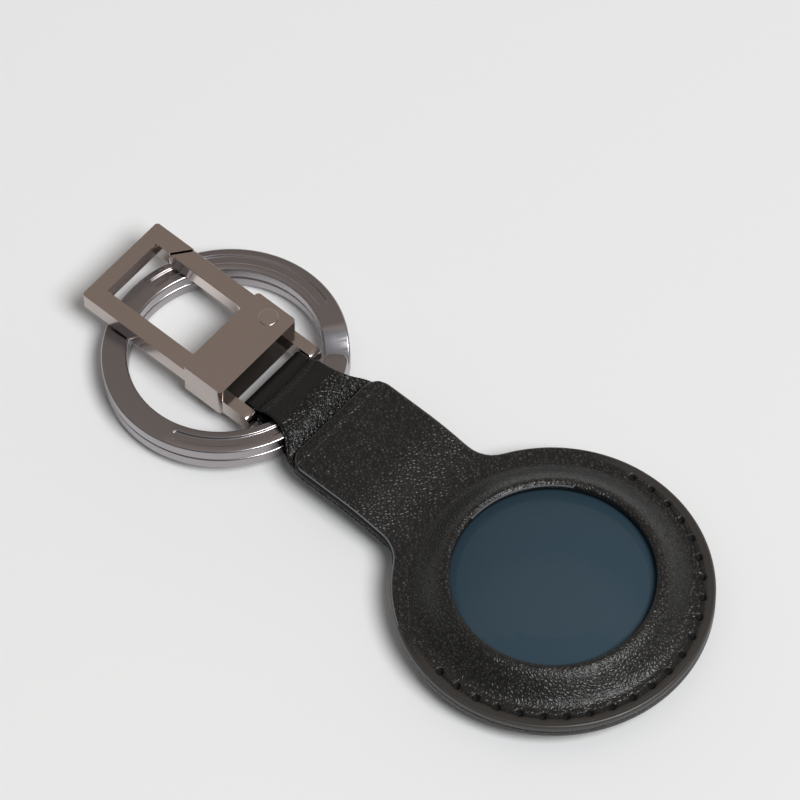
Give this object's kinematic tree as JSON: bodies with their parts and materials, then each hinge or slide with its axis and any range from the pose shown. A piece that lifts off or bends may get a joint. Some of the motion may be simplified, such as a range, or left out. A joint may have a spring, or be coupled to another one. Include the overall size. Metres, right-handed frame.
{
  "type": "tracker tag holder",
  "caption": "Leather holder for a round tracker tag, with a window, a neck, a looped strap, a split ring and a sprung snap hook.",
  "frame": {"origin": "middle of the disc, on the flat back of the pocket that the holder lies on", "axes": "+Y along the neck towards the snap hook, +Z out of the window, +X across the neck to the gate's side"},
  "size_m": [0.045, 0.1026, 0.0093],
  "materials": {
    "leather_front": "black grained leather",
    "leather_back": "black grained leather",
    "strap_leather": "black grained leather",
    "thread": "waxed black thread",
    "ring_metal": "polished gunmetal plating",
    "hook_metal": "polished gunmetal plating",
    "spring_steel": "bright spring steel",
    "tag_face": "glossy dark blue",
    "tag_base": "satin light grey",
    "board": "solder mask green",
    "magnet": "nickel plated",
    "coil": "enamelled copper",
    "contacts": "gold plated",
    "cell_steel": "satin steel",
    "cover_steel": "polished steel"
  },
  "bodies": {
    "holder": {"leather_front": "leather_front", "back_pocket": "leather_back", "stitching": "thread", "strap": "strap_leather"},
    "ring": {"split_ring": "ring_metal"},
    "hook": {"hook_body": "hook_metal", "gate_rivet": "hook_metal", "gate_spring": "spring_steel"},
    "gate": {"gate": "hook_metal"},
    "tag": {"tag_face": "tag_face", "tag_base": "tag_base", "circuit_board": "board", "sounder_magnet": "magnet", "sounder_coil": "coil", "battery_contacts": "contacts", "coin_cell": "cell_steel"},
    "cover": {"battery_cover": "cover_steel"}
  },
  "joints": [
    {"name": "ring_swing", "type": "hinge", "parent": "holder", "child": "ring", "pos_m": [0, 0.04395, 0.00445], "axis": [1, 0, 0], "range_deg": [-100, 0], "deforming": ["strap"]},
    {"name": "hook_swing", "type": "hinge", "parent": "holder", "child": "hook", "pos_m": [0, 0.0504, 0.00453], "axis": [1, 0, 0], "range_deg": [0, 100]},
    {"name": "gate_open", "type": "hinge", "parent": "hook", "child": "gate", "pos_m": [0.00585, 0.0573, 0.0059], "axis": [0, 0, 1], "range_deg": [0, 28], "stiffness_Nm_per_rad": 0.008, "springref_deg": -17.19, "deforming": ["gate_spring"]},
    {"name": "tag_turn", "type": "hinge", "parent": "holder", "child": "tag", "pos_m": [0, 0, 0.005], "axis": [0, 0, 1], "continuous": true},
    {"name": "cover_twist", "type": "hinge", "parent": "tag", "child": "cover", "pos_m": [0, 0, 0.0015], "axis": [0, 0, 1], "range_deg": [0, 15]}
  ]
}
